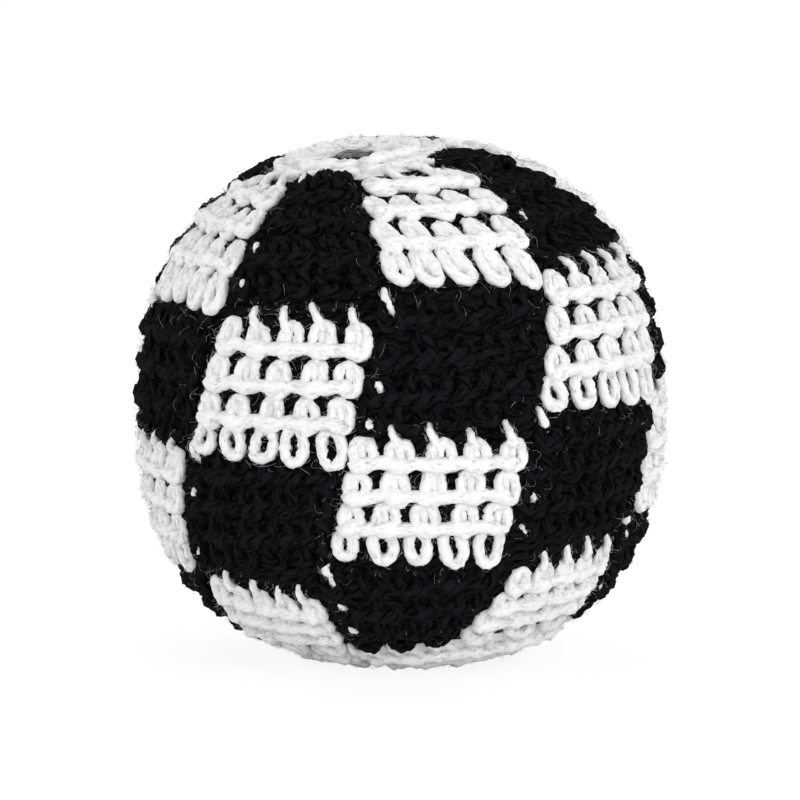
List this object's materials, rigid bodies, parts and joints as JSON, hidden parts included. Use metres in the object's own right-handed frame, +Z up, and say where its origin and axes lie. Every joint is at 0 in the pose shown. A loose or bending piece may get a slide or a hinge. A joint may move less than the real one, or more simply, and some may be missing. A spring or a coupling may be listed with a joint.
{
  "type": "crocheted kick ball",
  "caption": "Small pellet-filled kick ball with a crocheted cover in a leaning black and white check between plain white caps, slightly flattened where it rests.",
  "frame": {"origin": "middle of the flattened face that the ball rests on", "axes": "+Z up from the rest face through the ball to the closed crown; -Y towards the side in the picture; the crown leans towards -X"},
  "size_m": [0.052, 0.052, 0.051],
  "materials": {
    "white_yarn": "soft, slightly fuzzy plied yarn",
    "black_yarn": "soft, slightly fuzzy plied yarn",
    "pellets": "unpolished moulded granules"
  },
  "bodies": {
    "root": {"top_band_white_1": "white_yarn", "top_band_black_1": "black_yarn", "top_band_white_2": "white_yarn", "top_band_black_2": "black_yarn", "top_band_white_3": "white_yarn", "top_band_black_3": "black_yarn", "top_band_white_4": "white_yarn", "top_band_black_4": "black_yarn", "upper_band_black_1": "black_yarn", "upper_band_white_1": "white_yarn", "upper_band_black_2": "black_yarn", "upper_band_white_2": "white_yarn", "upper_band_black_3": "black_yarn", "upper_band_white_3": "white_yarn", "upper_band_black_4": "black_yarn", "upper_band_white_4": "white_yarn", "lower_band_white_1": "white_yarn", "lower_band_black_1": "black_yarn", "lower_band_white_2": "white_yarn", "lower_band_black_2": "black_yarn", "lower_band_white_3": "white_yarn", "lower_band_black_3": "black_yarn", "lower_band_white_4": "white_yarn", "lower_band_black_4": "black_yarn", "bottom_band_black_1": "black_yarn", "bottom_band_white_1": "white_yarn", "bottom_band_black_2": "black_yarn", "bottom_band_white_2": "white_yarn", "bottom_band_black_3": "black_yarn", "bottom_band_white_3": "white_yarn", "bottom_band_black_4": "black_yarn", "bottom_band_white_4": "white_yarn", "top_cap": "white_yarn", "bottom_cap": "white_yarn", "closing_ring": "white_yarn", "starting_ring": "white_yarn", "pellet_fill": "pellets"}
  },
  "joints": []
}
